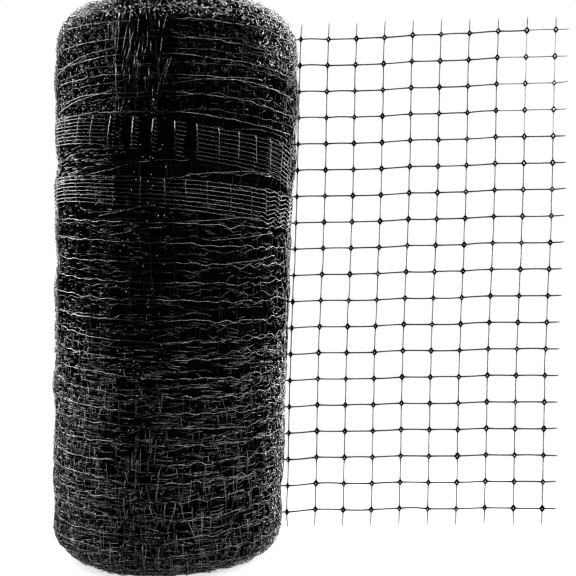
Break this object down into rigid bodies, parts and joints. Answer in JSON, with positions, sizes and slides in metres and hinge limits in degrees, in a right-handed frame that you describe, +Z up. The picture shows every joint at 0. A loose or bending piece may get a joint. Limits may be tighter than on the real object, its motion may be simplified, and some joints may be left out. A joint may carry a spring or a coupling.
{
  "type": "bird netting roll",
  "caption": "Upright roll of black plastic bird netting with its flat loose end drawn out to one side, showing the square mesh.",
  "frame": {"origin": "middle of the flat spot that the upright roll stands on", "axes": "+Z up along the roll; +X to the right, along the loose end; -Y towards the viewer"},
  "size_m": [0.3571, 0.1648, 0.3724],
  "materials": {
    "netting": "semi-gloss black extruded polypropylene strands"
  },
  "bodies": {
    "root": {"roll": "netting", "loose_end": "netting"}
  },
  "joints": []
}
